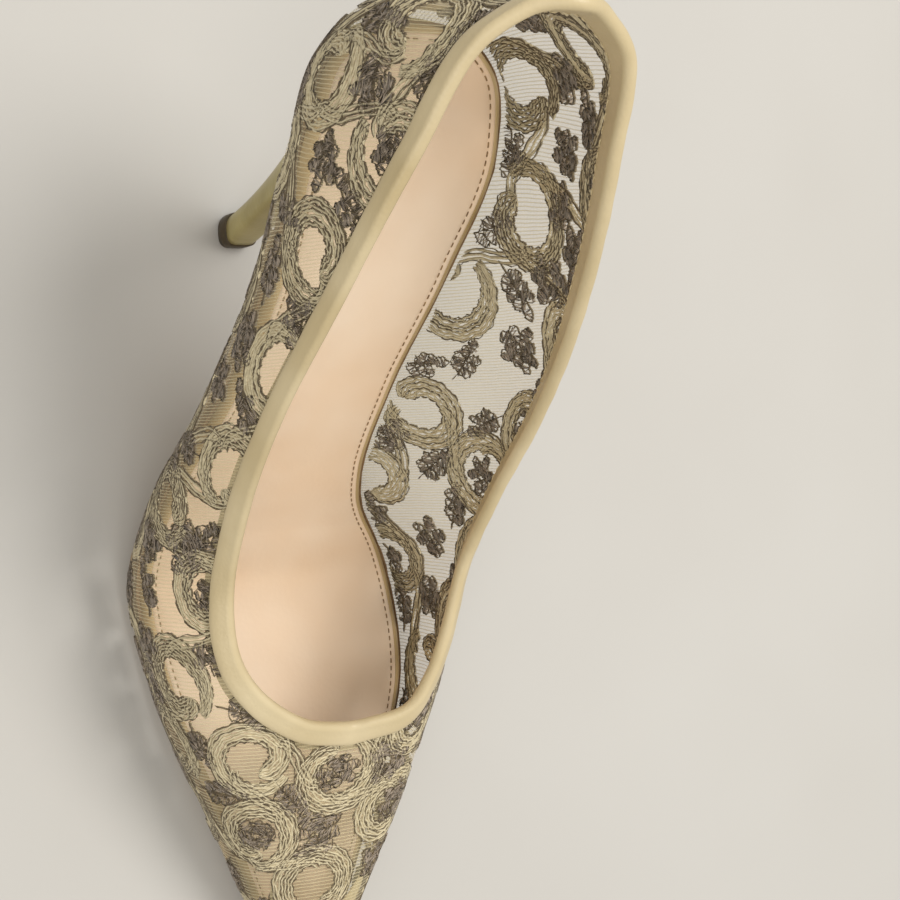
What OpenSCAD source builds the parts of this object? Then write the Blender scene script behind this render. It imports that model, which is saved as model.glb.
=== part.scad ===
// High heel pump, right foot: sheer net upper with a leather-bound topline, padded sock,
// covered slim heel. Millimetres. +X is the outer side of the foot, +Y the toe, +Z up.
// Every piece is laid out on the last: the bed curve gives the height of the foot bed,
// and twenty-four guides round the feather edge give the skin of the upper.

/* [Shoe] */
// Length of the foot bed in plan, back of the heel to the tip of the toe
shoe_length = 234; // [222:1:250]
// Width of the foot bed across the ball
ball_width = 76; // [71:1:81]
// Height of the foot bed over the floor at the back of the heel
heel_height = 97; // [88:1:104]
// Height of the opening's edge over the foot bed, as a multiple of the usual cut
quarter_cut = 1.0; // [0.92:0.02:1.08]

/* [Upper] */
// Thickness of the net with its embroidery
net_t = 0.8; // [0.6:0.1:1.0]
// Thickness of the leather that binds the opening
binding_t = 1.0; // [0.8:0.1:1.2]
// Depth of the binding on the outside
binding_out = 4; // [3:0.5:5.5]
// Depth of the binding on the inside
binding_in = 6.5; // [5.5:0.5:8.5]
// Width of the strip over the back seam
back_strip_w = 9; // [7:0.5:11]

/* [Bottom] */
// Thickness of the outsole
outsole_t = 2.6; // [2.2:0.1:3]
// Thickness of the insole board
board_t = 2.2; // [1.8:0.1:2.6]
// Thickness of the cushion under the sock
foam_t = 1.6; // [1.2:0.1:2]
// Thickness of the leather sock
sock_t = 0.9; // [0.7:0.1:1.1]
// Length of net turned under the insole board
margin_w = 10; // [8:0.5:11]

/* [Heel] */
// Width of the heel at its tip
tip_w = 8.4; // [8:0.2:10]
// Thickness of the top piece under the heel
top_piece_t = 5.5; // [4.5:0.5:7]

/* [Hidden] */
// ------------------------------------------------------------------ drawing steps
span_steps = 5;        // columns between two guides round the upper
bed_steps = 26;        // steps along the foot bed
heel_cols = 32;        // columns round the heel
heel_rows = 10;        // rows up the heel
round_fn = 24;         // sides of small round hardware
gap = 0.05;            // gap between two pieces that touch

// ------------------------------------------------------------------ scale of the last
last_length = 234;     // the last these stations are cut on
last_ball = 75;
last_heel = 78;
k_len = shoe_length / last_length;
k_wid = ball_width / last_ball;
sole_under = 1.2;      // space for the turned-under net between board and outsole
tread_z = outsole_t + sole_under;
k_rise = (heel_height - tread_z) / (last_heel - 3.8);

// Height of the foot bed over the tread, along the shoe
bed_at = [0, 12.5, 25, 49.5, 74.5, 95.5, 112, 124.5, 136.5, 166, 180.5, 200, 217, 234];
bed_up = [74.2, 72.2, 69, 55, 35.5, 17.8, 6, 1, 0, 0, 0.3, 1.6, 3.1, 5];

// Stations round the feather edge, from the back of the heel to the tip of the toe:
// where the net leaves the foot bed
feather_y = [0, 2.5, 10, 25, 51.5, 78.5, 103.5, 124.5, 153.5, 183, 210, 227, 234];
feather_out = [0, 13.5, 21.5, 25.5, 26, 28.5, 34.5, 36.5, 30.5, 19.5, 9, 1, -4];
feather_in = [0, 13.5, 21, 24, 21, 18, 22, 35.5, 39.5, 31, 19.5, 10.5, 4];
// where the same guides reach the opening's edge
top_y = [11.5, 12.5, 18.5, 36, 61.5, 84, 104.5, 121, 137, 149, 157.5, 159.5, 160];
top_out = [0, 9, 16.5, 22.5, 28, 31, 30.5, 29, 27, 20, 7.5, -1.5, -5.5];
top_in = [0, 8.5, 17, 22, 29.5, 34, 34, 33, 30, 25.5, 18.5, 9.5, 5.5];
top_rise = [61.5, 58.5, 54.5, 46, 41.5, 44, 48, 47.5, 44.5, 42.5, 38, 34, 32];
// how far the skin swells as it leaves the foot bed, and as it reaches the opening
foot_swell_out = [0, 9.5, 9, 8.5, 9, 10, 9, 6.5, 5, 4, 3, 1.5, 0];
foot_swell_in = [0, 3.5, 6, 8, 12, 14, 11, 5, 1, 0.5, 0.5, 1, 0];
foot_swell_y = [-5, -4, -1, 0, 0, 0, 0, 0, 0, 0.5, 1, 1.5, 1.5];
foot_up = [0.35, 0.35, 0.35, 0.35, 0.35, 0.36, 0.4, 0.45, 0.46, 0.44, 0.42, 0.38, 0.36];
top_swell_out = [0, 3.5, 4.5, 4, 5, 6.5, 7.5, 9, 11, 12, 9, 5, 0];
top_swell_in = [0, 2.5, 4, 4, 5, 7, 7, 6.5, 6.5, 5, 2.5, 0, 0];
top_swell_y = [-4, -3, -1, 0, 0, 0, 0, 2, 6, 12, 18, 21, 22];
top_down = [0.35, 0.35, 0.35, 0.35, 0.33, 0.3, 0.25, 0.2, 0.22, 0.28, 0.33, 0.37, 0.38];

stations = len(feather_y);
guides = 2 * (stations - 1);

// ------------------------------------------------------------------ curves
function blend(a, b, ma, mb, t) =
    (2 * t * t * t - 3 * t * t + 1) * a + (t * t * t - 2 * t * t + t) * ma
    + (3 * t * t - 2 * t * t * t) * b + (t * t * t - t * t) * mb;

// Slope of a curve that never overshoots its stations
function calm_slope(d0, d1) = d0 * d1 > 0 ? 2 * d0 * d1 / (d0 + d1) : 0;

function bed_secant(i) = (bed_up[i + 1] - bed_up[i]) / (bed_at[i + 1] - bed_at[i]);
function bed_slope(i) =
    i == 0 ? bed_secant(0)
    : i == len(bed_at) - 1 ? bed_secant(i - 1)
    : calm_slope(bed_secant(i - 1), bed_secant(i));
function bed_span(y, i = 0) = i >= len(bed_at) - 2 || y < bed_at[i + 1] ? i : bed_span(y, i + 1);

// Height of the underside of the insole board over the floor, at distance y along the shoe
function bed_z(y) =
    let (
        s = y / k_len,
        i = bed_span(s),
        h = bed_at[i + 1] - bed_at[i],
        t = (s - bed_at[i]) / h
    )
    tread_z + k_rise * blend(bed_up[i], bed_up[i + 1], bed_slope(i) * h, bed_slope(i + 1) * h, t);

function bed_normal(y) =
    let (s = (bed_z(y + 0.5) - bed_z(y - 0.5)))
    [-s, 1] / sqrt(1 + s * s);

// Point at height d over the board's underside, square to it, in the long section
function bed_point(y, d) = [y, bed_z(y)] + d * bed_normal(y);

// ------------------------------------------------------------------ guides of the upper
function guide(i, side) =
    let (
        out = side > 0,
        base = [
            k_wid * (out ? feather_out[i] : -feather_in[i]),
            k_len * feather_y[i],
            bed_z(k_len * feather_y[i])
        ],
        rise = quarter_cut * top_rise[i],
        top = [k_wid * (out ? top_out[i] : -top_in[i]), k_len * top_y[i], base.z + rise],
        foot = [
            out ? foot_swell_out[i] : -foot_swell_in[i],
            foot_swell_y[i],
            foot_up[i] * rise
        ],
        lip = [
            out ? top_swell_out[i] : -top_swell_in[i],
            top_swell_y[i],
            -top_down[i] * rise
        ]
    )
    [base, base + foot, top + lip, top];

ring = [
    for (i = [0:stations - 1]) guide(i, 1),
    for (i = [stations - 2:-1:1]) guide(i, -1)
];
function wrap(k) = (k + guides) % guides;
step_len = [for (k = [0:guides - 1]) norm(ring[wrap(k + 1)][0] - ring[k][0])];
ring_slope = [
    for (k = [0:guides - 1])
        let (
            a = wrap(k - 1),
            before = (ring[k] - ring[a]) / step_len[a],
            after = (ring[wrap(k + 1)] - ring[k]) / step_len[k]
        )
        (before * step_len[k] + after * step_len[a]) / (step_len[a] + step_len[k])
];

// The four control points of the upper's profile at place u round the ring
function column(u) =
    let (
        v = u - guides * floor(u / guides),
        k = min(floor(v), guides - 1),
        n = wrap(k + 1),
        h = step_len[k]
    )
    blend(ring[k], ring[n], ring_slope[k] * h, ring_slope[n] * h, v - k);

function rise_at(c, v) =
    pow(1 - v, 3) * c[0] + 3 * pow(1 - v, 2) * v * c[1]
    + 3 * (1 - v) * v * v * c[2] + pow(v, 3) * c[3];
function rise_speed(c, v) =
    3 * (pow(1 - v, 2) * (c[1] - c[0]) + 2 * (1 - v) * v * (c[2] - c[1]) + v * v * (c[3] - c[2]));

function unit(v) = v / norm(v);

// Outward normal of the skin
function skin_normal(u, v) =
    unit(cross(
        rise_at(column(u + 0.02), v) - rise_at(column(u - 0.02), v),
        rise_speed(column(u), v)
    ));

// Point n outside the skin, at height v of the profile
function skin(u, v, n) = rise_at(column(u), v) + n * skin_normal(u, v);

// Point n outside the skin, b below the opening's edge along the profile
function rim(u, b, n) =
    let (
        c = column(u),
        speed = norm(rise_speed(c, 1)),
        v = 1 - max(b, 0) / speed,
        up = unit(rise_speed(c, 1))
    )
    rise_at(c, v) + n * skin_normal(u, v) - min(b, 0) * up;

// ------------------------------------------------------------------ outlines in plan
spine_back = 17;       // insets run towards a spine between these two places
spine_toe = 185;
function spine(p) =
    let (y = min(max(p.y, k_len * spine_back), k_len * spine_toe))
    [0, y];
// Point of the feather edge moved d towards the spine
function inset(u, d) =
    let (
        b = column(u)[0],
        p = [b.x, b.y],
        s = spine(p)
    )
    p + d * unit(s - p);

all_steps = guides * span_steps;
function ring_u(i) = i / span_steps;

module outline(d) {
    polygon([for (i = [0:all_steps - 1]) inset(ring_u(i), d)]);
}

// Sheet between two heights over the board's underside, from y0 to y1
module bed_band(lo, hi, y0, y1, width = 120) {
    under = [for (i = [0:bed_steps]) bed_point(y0 + (y1 - y0) * i / bed_steps, lo)];
    over = [for (i = [bed_steps:-1:0]) bed_point(y0 + (y1 - y0) * i / bed_steps, hi)];
    translate([-width / 2, 0, 0])
        rotate([90, 0, 90])
            linear_extrude(width)
                polygon(concat(under, over));
}

module bed_sheet(lo, hi, d, y0 = -10, y1 = shoe_length + 10) {
    intersection() {
        bed_band(lo, hi, y0, y1);
        translate([0, 0, -10])
            linear_extrude(200)
                outline(d);
    }
}

// Something drawn at the origin, stood square on the foot bed at y
module on_bed(x, y, d = 0) {
    p = bed_point(y, d);
    n = bed_normal(y);
    translate([x, p[0], p[1]])
        rotate([-atan2(n[0], n[1]), 0, 0])
            children();
}

// ------------------------------------------------------------------ solids from sections
// Closed ring of closed sections
module ring_solid(sections) {
    n = len(sections);
    m = len(sections[0]);
    polyhedron(
        points = [for (s = sections) each s],
        faces = [
            for (i = [0:n - 1])
                for (j = [0:m - 1])
                    let (
                        a = i * m + j,
                        b = i * m + (j + 1) % m,
                        c = ((i + 1) % n) * m + (j + 1) % m,
                        d = ((i + 1) % n) * m + j
                    )
                    each [[a, b, c], [a, c, d]]
        ]
    );
}

// Row of closed sections with a cap on each end
module capped_solid(sections) {
    n = len(sections);
    m = len(sections[0]);
    first = n * m;
    last = n * m + 1;
    polyhedron(
        points = concat(
            [for (s = sections) each s],
            [middle(sections[0]), middle(sections[n - 1])]
        ),
        faces = [
            for (i = [0:n - 2])
                for (j = [0:m - 1])
                    let (
                        a = i * m + j,
                        b = i * m + (j + 1) % m,
                        c = (i + 1) * m + (j + 1) % m,
                        d = (i + 1) * m + j
                    )
                    each [[a, b, c], [a, c, d]],
            for (j = [0:m - 1]) [first, (j + 1) % m, j],
            for (j = [0:m - 1]) [last, (n - 1) * m + j, (n - 1) * m + (j + 1) % m]
        ]
    );
}
function total(v, i = 0) = i == len(v) - 1 ? v[i] : v[i] + total(v, i + 1);
function middle(v) = total(v) / len(v);

// Patch of the skin between two offsets, from ring place u0 to u1 and height v0 to v1
module skin_patch(u0, u1, u_steps, v0, v1, v_steps, near, far) {
    capped_solid([
        for (i = [0:u_steps])
            let (u = u0 + (u1 - u0) * i / u_steps)
            concat(
                [for (j = [0:v_steps]) skin(u, v0 + (v1 - v0) * j / v_steps, near)],
                [for (j = [v_steps:-1:0]) skin(u, v0 + (v1 - v0) * j / v_steps, far)]
            )
    ]);
}

// ------------------------------------------------------------------ upper
profile_v = [0.05, 0.15, 0.28, 0.42, 0.56, 0.7, 0.84, 1];

// Section of the net: turned under the board, round its edge and up to the opening
function net_section(u) =
    let (
        under = inset(u, margin_w),
        edge = inset(u, 1),
        z_under = bed_z(under.y),
        z_edge = bed_z(edge.y)
    )
    concat(
        [
            [under.x, under.y, z_under - gap - net_t],
            [edge.x, edge.y, z_edge - gap - net_t]
        ],
        [for (v = profile_v) skin(u, v, 0)],
        [for (i = [len(profile_v) - 1:-1:0]) skin(u, profile_v[i], -net_t)],
        [
            [edge.x, edge.y, z_edge - gap],
            [under.x, under.y, z_under - gap]
        ]
    );

module mesh_upper() {
    color([0.80, 0.74, 0.62])
        ring_solid([for (i = [0:all_steps - 1]) net_section(ring_u(i))]);
}

// Section of the binding: outer leg, round rim, inner leg
rim_arc = 5;           // points round the rim on each face
function binding_section(u) =
    let (
        mid = -net_t / 2,
        r_in = net_t / 2 + gap,
        r_out = r_in + binding_t
    )
    concat(
        [rim(u, binding_out, r_out + mid)],
        [for (i = [0:rim_arc]) rim_arc_point(u, mid, r_out, 180 * i / rim_arc)],
        [rim(u, binding_in, mid - r_out), rim(u, binding_in, mid - r_in)],
        [for (i = [2:-1:0]) rim_arc_point(u, mid, r_in, 90 * i)],
        [rim(u, binding_out, r_in + mid)]
    );
rim_lift = 0.4;        // the fold stands this far over the cut edge of the net
function rim_arc_point(u, mid, r, a) = rim(u, -rim_lift - r * sin(a), mid + r * cos(a));

module topline_binding() {
    color([0.80, 0.71, 0.52])
        ring_solid([for (i = [0:all_steps - 1]) binding_section(ring_u(i))]);
}

module topline_tape() {
    w = net_t / 2 - gap;
    color([0.92, 0.90, 0.84])
        ring_solid([
            for (i = [0:all_steps - 1])
                let (u = ring_u(i))
                [
                    rim(u, -gap, -net_t / 2 + w),
                    rim(u, -rim_lift, -net_t / 2 + w),
                    rim(u, -rim_lift, -net_t / 2 - w),
                    rim(u, -gap, -net_t / 2 - w)
                ]
        ]);
}

strip_reach = back_strip_w / 2 / step_len[0];
strip_top = 1 - (binding_out + 0.3) / norm(rise_speed(ring[0], 1));
module back_strip() {
    color([0.86, 0.76, 0.60])
        skin_patch(-strip_reach, strip_reach, 6, 0.06, strip_top, 12, gap, gap + 0.9);
}

tape_reach = 0.7 * strip_reach;
tape_top = 1 - (binding_in + 0.3) / norm(rise_speed(ring[0], 1));
module back_seam_tape() {
    color([0.92, 0.90, 0.84])
        skin_patch(-tape_reach, tape_reach, 4, 0.16, tape_top, 10, -net_t - gap - 0.4, -net_t - gap);
}

puff_reach = 1.7;      // guides either side of the toe that the puff covers
module toe_puff() {
    tip = stations - 1;
    color([0.85, 0.82, 0.74])
        skin_patch(tip - puff_reach, tip + puff_reach, 18, 0.2, 0.42, 5,
            -net_t - gap - 0.4, -net_t - gap);
}

// ------------------------------------------------------------------ inside of the shoe
sock_inset = 2.6;      // sock and cushion stay this far inside the net's edge
wrap_t = 0.6;          // leather strip round the padded edge

module sock_lining() {
    color([0.90, 0.80, 0.69])
        bed_sheet(board_t + foam_t + gap, board_t + foam_t + sock_t, sock_inset + wrap_t);
}

module sock_foam() {
    color([0.93, 0.90, 0.82])
        bed_sheet(board_t + gap, board_t + foam_t, sock_inset + wrap_t + gap);
}

// Strip standing round the padded edge, its top level with the sock
module sock_edge_wrap() {
    color([0.72, 0.62, 0.42])
        ring_solid([
            for (i = [0:all_steps / 2 - 1])
                let (
                    u = ring_u(2 * i),
                    a = inset(u, sock_inset),
                    b = inset(u, sock_inset + wrap_t - gap),
                    lo = board_t + gap,
                    hi = board_t + foam_t + sock_t
                )
                [edge_point(a, lo), edge_point(a, hi), edge_point(b, hi), edge_point(b, lo)]
        ]);
}
function edge_point(p, d) = [p.x, p.y, bed_z(p.y) + d * norm([1, bed_z(p.y + 0.5) - bed_z(p.y - 0.5)])];

module insole_board() {
    color([0.62, 0.50, 0.36])
        difference() {
            bed_sheet(0, board_t, 1.3);
            shank_envelope(gap);
            for (y = rivet_y)
                on_bed(0, y)
                    cylinder(h = 4 * board_t, r = rivet_r + gap, center = true, $fn = round_fn);
            screw_at()
                translate([0, 0, -2 * board_t])
                    cylinder(h = 4 * board_t, r = screw_r + gap, $fn = round_fn);
            screw_at()
                translate([0, 0, board_t - screw_head_t])
                    cylinder(h = board_t, r = screw_head_r + gap, $fn = round_fn);
            each_nail()
                cylinder(h = 4 * board_t, r = nail_r + gap, center = true, $fn = round_fn);
            each_nail()
                translate([0, 0, board_t - nail_head_t])
                    cylinder(h = board_t, r = nail_head_r + gap, $fn = round_fn);
        }
}

// ------------------------------------------------------------------ shank and fixings
shank_w = 13;
shank_t = 1.5;
shank_back = k_len * 11;
shank_front = k_len * 122;
shank_low = gap - sole_under;
rivet_r = 1.6;
rivet_head_r = 2.6;
rivet_head_t = 0.5;
rivet_y = [k_len * 74, k_len * 114];
screw_y = k_len * 23;
screw_r = 2;
screw_head_r = 4;
screw_head_t = 1.2;
screw_len = 24;
nail_r = 0.9;
nail_head_r = 1.7;
nail_head_t = 0.5;
nail_len = 15;
nail_in = 4;           // nails stand this far inside the turned-under net

module shank_envelope(clear) {
    intersection() {
        bed_band(shank_low - clear, shank_low + shank_t + clear,
            shank_back - clear, shank_front + clear, shank_w + 2 * clear);
        translate([-shank_w, 0, -10])
            cube([2 * shank_w, shoe_length, 200]);
    }
}

module shank() {
    color([0.62, 0.63, 0.65])
        difference() {
            shank_envelope(0);
            for (y = rivet_y)
                on_bed(0, y)
                    cylinder(h = 4 * board_t, r = rivet_r, center = true, $fn = round_fn);
            screw_at()
                translate([0, 0, -2 * board_t])
                    cylinder(h = 4 * board_t, r = screw_r + gap, $fn = round_fn);
        }
}

module shank_rivets() {
    color([0.70, 0.70, 0.72])
        for (y = rivet_y)
            on_bed(0, y, shank_low) {
                cylinder(h = board_t - shank_low + rivet_head_t - 2 * gap, r = rivet_r - gap, $fn = round_fn);
                translate([0, 0, board_t - shank_low + gap])
                    cylinder(h = rivet_head_t, r = rivet_head_r, $fn = round_fn);
            }
}

module screw_at() {
    on_bed(0, screw_y)
        children();
}

module heel_screw() {
    color([0.58, 0.58, 0.60])
        screw_at() {
            translate([0, 0, board_t - screw_head_t + gap])
                cylinder(h = screw_head_t - 2 * gap, r = screw_head_r, $fn = round_fn);
            translate([0, 0, board_t - screw_len])
                cylinder(h = screw_len - screw_head_t + 2 * gap, r = screw_r, $fn = round_fn);
        }
}

nail_u = [-2.2, -1.3, 0, 1.3, 2.2];
module each_nail() {
    for (u = nail_u) {
        p = inset(u, margin_w + nail_in);
        on_bed(p.x, p.y)
            children();
    }
}

module heel_nails() {
    color([0.66, 0.66, 0.68])
        each_nail() {
            translate([0, 0, board_t - nail_head_t + gap])
                cylinder(h = nail_head_t - 2 * gap, r = nail_head_r, $fn = round_fn);
            translate([0, 0, board_t - nail_len])
                cylinder(h = nail_len - nail_head_t + 2 * gap, r = nail_r, $fn = round_fn);
        }
}

// ------------------------------------------------------------------ outsole
breast_y = k_len * 42; // front of the heel at the seat
module outsole() {
    color([0.72, 0.60, 0.44])
        bed_sheet(-sole_under - outsole_t, -sole_under, 1.2, breast_y + 1);
}

module bottom_filler() {
    color([0.80, 0.76, 0.68])
        bed_sheet(-sole_under + gap, -gap, margin_w + 1.5, shank_front + 1);
}

// ------------------------------------------------------------------ heel
seat_y = k_len * 21;   // middle of the heel seat
seat_half_y = 21;
seat_half_x = k_wid * 23.6;
tip_x = 2.5;           // middle of the heel tip
tip_y = k_len * 34;
cover_t = 0.8;         // leather round the heel
back_power = 2 / 2.2;  // roundness of the heel behind its middle
front_power = 2 / 3.6; // and in front of it

function sgn_pow(v, p) = sign(v) * pow(abs(v), p);
function oval(a, hx, hy) =
    let (p = sin(a) < 0 ? back_power : front_power)
    [hx * sgn_pow(cos(a), p), hy * sgn_pow(sin(a), p)];

// Point at angle a round the heel and height t from tip (0) to seat (1), d inside the cover
function heel_point(a, t, d) =
    let (
        tip = oval(a, tip_w / 2 - d, tip_w / 2 - d),
        seat = oval(a, seat_half_x - d, seat_half_y - d),
        z_seat = bed_z(seat_y + seat.y) - sole_under - gap,
        p0 = [tip_x + tip.x, tip_y + tip.y, top_piece_t],
        p3 = [seat.x, seat_y + seat.y, z_seat],
        p1 = p0 + [0, -8, 0.48 * (z_seat - top_piece_t)],
        back = 0.42 - 0.34 * sin(a),
        p2 = [0.36 * seat.x, seat_y - 3 + back * seat.y, z_seat - 19 + 11 * sin(a)]
    )
    pow(1 - t, 3) * p0 + 3 * pow(1 - t, 2) * t * p1 + 3 * (1 - t) * t * t * p2 + pow(t, 3) * p3;

function heel_row(t, d) = [for (i = [0:heel_cols - 1]) heel_point(360 * i / heel_cols, t, d)];

module heel_cover() {
    color([0.66, 0.60, 0.40])
        ring_solid([
            for (i = [0:heel_cols - 1])
                let (a = -360 * i / heel_cols)
                concat(
                    [for (j = [0:heel_rows]) heel_point(a, j / heel_rows, 0)],
                    [for (j = [heel_rows:-1:0]) heel_point(a, j / heel_rows, cover_t)]
                )
        ]);
}

module heel_core() {
    color([0.85, 0.84, 0.80])
        difference() {
            capped_solid([for (j = [0:heel_rows]) heel_row(j / heel_rows, cover_t + gap)]);
            along_stem(-1)
                cylinder(h = pin_len + 1 + gap, r = pin_r + gap, $fn = round_fn);
            screw_at()
                translate([0, 0, board_t - screw_len - gap])
                    cylinder(h = screw_len, r = screw_r, $fn = round_fn);
            each_nail()
                translate([0, 0, board_t - nail_len - gap])
                    cylinder(h = nail_len, r = nail_r + gap, $fn = round_fn);
        }
}

pin_r = 2.1;
pin_bore_r = 1.25;
pin_len = 44;
dowel_up = 12;         // the dowel goes this far up the tube
dowel_in = 3.5;        // and this far into the top piece
stem_lean = atan2(8, 0.48 * (heel_height - top_piece_t - sole_under));

module along_stem(start) {
    translate([tip_x, tip_y, top_piece_t])
        rotate([stem_lean, 0, 0])
            translate([0, 0, start])
                children();
}

module heel_reinforcement_pin() {
    color([0.55, 0.56, 0.58])
        along_stem(gap)
            difference() {
                cylinder(h = pin_len, r = pin_r, $fn = round_fn);
                translate([0, 0, -1])
                    cylinder(h = pin_len + 2, r = pin_bore_r + gap, $fn = round_fn);
            }
}

module top_piece_dowel() {
    color([0.60, 0.60, 0.62])
        along_stem(-dowel_in)
            cylinder(h = dowel_in + dowel_up, r = pin_bore_r, $fn = round_fn);
}

module top_piece() {
    color([0.36, 0.32, 0.20])
        difference() {
            translate([tip_x, tip_y, 0])
                linear_extrude(top_piece_t - gap)
                    polygon([
                        for (i = [0:heel_cols - 1])
                            oval(360 * i / heel_cols, tip_w / 2 + 0.3, tip_w / 2 + 0.3)
                    ]);
            along_stem(-dowel_in - gap)
                cylinder(h = dowel_in + 2, r = pin_bore_r + gap, $fn = round_fn);
        }
}

// ------------------------------------------------------------------ row frame
// The origin is under the middle of the shoe's bounding box
edge_points = [
    for (i = [0:all_steps - 1])
        for (v = profile_v)
            skin(ring_u(i), v, 0)
];
strip_points = [for (j = [0:12]) skin(0, 0.06 + (strip_top - 0.06) * j / 12, gap + 0.9)];
mid_x = (max([for (p = edge_points) p.x]) + min([for (p = edge_points) p.x])) / 2;
mid_y = (max([for (p = edge_points) p.y]) + min([for (p = strip_points) p.y])) / 2;

module in_row_frame() {
    translate([-mid_x, -mid_y, 0])
        children();
}

in_row_frame() mesh_upper();
in_row_frame() topline_binding();
in_row_frame() topline_tape();
in_row_frame() back_strip();
in_row_frame() back_seam_tape();
in_row_frame() toe_puff();
in_row_frame() sock_lining();
in_row_frame() sock_foam();
in_row_frame() sock_edge_wrap();
in_row_frame() insole_board();
in_row_frame() shank();
in_row_frame() shank_rivets();
in_row_frame() heel_screw();
in_row_frame() heel_nails();
in_row_frame() outsole();
in_row_frame() bottom_filler();
in_row_frame() heel_cover();
in_row_frame() heel_core();
in_row_frame() heel_reinforcement_pin();
in_row_frame() top_piece_dowel();
in_row_frame() top_piece();
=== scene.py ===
"""High heel pump: the looks of every piece, drawn on the same last as the CAD part.

Shapes are worked out in the last's own millimetres (y 0 at the back of the heel, z 0 on the floor)
and place() moves them into the row frame, in metres.
"""

import math

import bpy
import numpy as np
from mathutils import Matrix, Vector
from mathutils.bvhtree import BVHTree


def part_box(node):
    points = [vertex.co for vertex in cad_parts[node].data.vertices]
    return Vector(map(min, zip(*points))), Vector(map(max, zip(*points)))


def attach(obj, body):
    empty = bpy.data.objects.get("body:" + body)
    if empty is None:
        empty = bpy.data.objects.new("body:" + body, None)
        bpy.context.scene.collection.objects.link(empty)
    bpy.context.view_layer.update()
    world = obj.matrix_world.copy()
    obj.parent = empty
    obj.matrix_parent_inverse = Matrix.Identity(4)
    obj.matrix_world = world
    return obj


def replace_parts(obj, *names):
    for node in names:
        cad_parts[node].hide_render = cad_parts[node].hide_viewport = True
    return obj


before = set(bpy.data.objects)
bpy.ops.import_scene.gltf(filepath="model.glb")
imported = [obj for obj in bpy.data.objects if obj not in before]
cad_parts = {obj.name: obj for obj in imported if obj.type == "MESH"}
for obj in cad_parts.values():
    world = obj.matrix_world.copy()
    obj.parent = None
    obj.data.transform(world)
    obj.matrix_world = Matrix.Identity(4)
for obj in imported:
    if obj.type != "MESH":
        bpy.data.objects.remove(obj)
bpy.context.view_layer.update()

MM = 0.001
rng = np.random.default_rng(7)

# ---------------------------------------------------------------- the last, in millimetres
SHOE_LENGTH = 234.0
BALL_WIDTH = 76.0
HEEL_HEIGHT = 97.0
LAST_LENGTH = 234.0
LAST_BALL = 75.0
LAST_RISE = 74.2
OUTSOLE_T = 2.6
SOLE_UNDER = 1.2
BOARD_T = 2.2
FOAM_T = 1.6
SOCK_T = 0.9
NET_T = 0.8
MARGIN_W = 10.0
BINDING_T = 1.0
BINDING_OUT = 4.0
BINDING_IN = 6.5

TREAD_Z = OUTSOLE_T + SOLE_UNDER
K_LEN = SHOE_LENGTH / LAST_LENGTH
K_WID = BALL_WIDTH / LAST_BALL
K_RISE = (HEEL_HEIGHT - TREAD_Z) / LAST_RISE
SPINE_BACK = K_LEN * 17
SPINE_TOE = K_LEN * 185

BED_AT = [0, 12.5, 25, 49.5, 74.5, 95.5, 112, 124.5, 136.5, 166, 180.5, 200, 217, 234]
BED_UP = [74.2, 72.2, 69, 55, 35.5, 17.8, 6, 1, 0, 0, 0.3, 1.6, 3.1, 5]

# Stations from the back of the heel to the tip of the toe. The feather edge is where the upper
# meets the bed, the top is the closed rim, and each swell and rise bends the profile between them.
FEATHER_Y = [0, 2.5, 10, 25, 51.5, 78.5, 103.5, 124.5, 153.5, 183, 210, 227, 234]
FEATHER_OUT = [0, 13.5, 21.5, 25.5, 26, 28.5, 34.5, 36.5, 30.5, 19.5, 9, 1, -4]
FEATHER_IN = [0, 13.5, 21, 24, 21, 18, 22, 35.5, 39.5, 31, 19.5, 10.5, 4]
TOP_Y = [11.5, 12.5, 18.5, 36, 61.5, 84, 104.5, 121, 137, 149, 157.5, 159.5, 160]
TOP_OUT = [0, 9, 16.5, 22.5, 28, 31, 30.5, 29, 27, 20, 7.5, -1.5, -5.5]
TOP_IN = [0, 8.5, 17, 22, 29.5, 34, 34, 33, 30, 25.5, 18.5, 9.5, 5.5]
TOP_RISE = [61.5, 58.5, 54.5, 46, 41.5, 44, 48, 47.5, 44.5, 42.5, 38, 34, 32]
FOOT_SWELL_OUT = [0, 9.5, 9, 8.5, 9, 10, 9, 6.5, 5, 4, 3, 1.5, 0]
FOOT_SWELL_IN = [0, 3.5, 6, 8, 12, 14, 11, 5, 1, 0.5, 0.5, 1, 0]
FOOT_SWELL_Y = [-5, -4, -1, 0, 0, 0, 0, 0, 0, 0.5, 1, 1.5, 1.5]
FOOT_UP = [0.35, 0.35, 0.35, 0.35, 0.35, 0.36, 0.4, 0.45, 0.46, 0.44, 0.42, 0.38, 0.36]
TOP_SWELL_OUT = [0, 3.5, 4.5, 4, 5, 6.5, 7.5, 9, 11, 12, 9, 5, 0]
TOP_SWELL_IN = [0, 2.5, 4, 4, 5, 7, 7, 6.5, 6.5, 5, 2.5, 0, 0]
TOP_SWELL_Y = [-4, -3, -1, 0, 0, 0, 0, 2, 6, 12, 18, 21, 22]
TOP_DOWN = [0.35, 0.35, 0.35, 0.35, 0.33, 0.3, 0.25, 0.2, 0.22, 0.28, 0.33, 0.37, 0.38]

STATIONS = len(FEATHER_Y)
GUIDES = 2 * (STATIONS - 1)
TOE_U = STATIONS - 1


# ---------------------------------------------------------------- curves
def hermite(a, b, slope_a, slope_b, t):
    return (
        (2 * t**3 - 3 * t**2 + 1) * a
        + (t**3 - 2 * t**2 + t) * slope_a
        + (3 * t**2 - 2 * t**3) * b
        + (t**3 - t**2) * slope_b
    )


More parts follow.
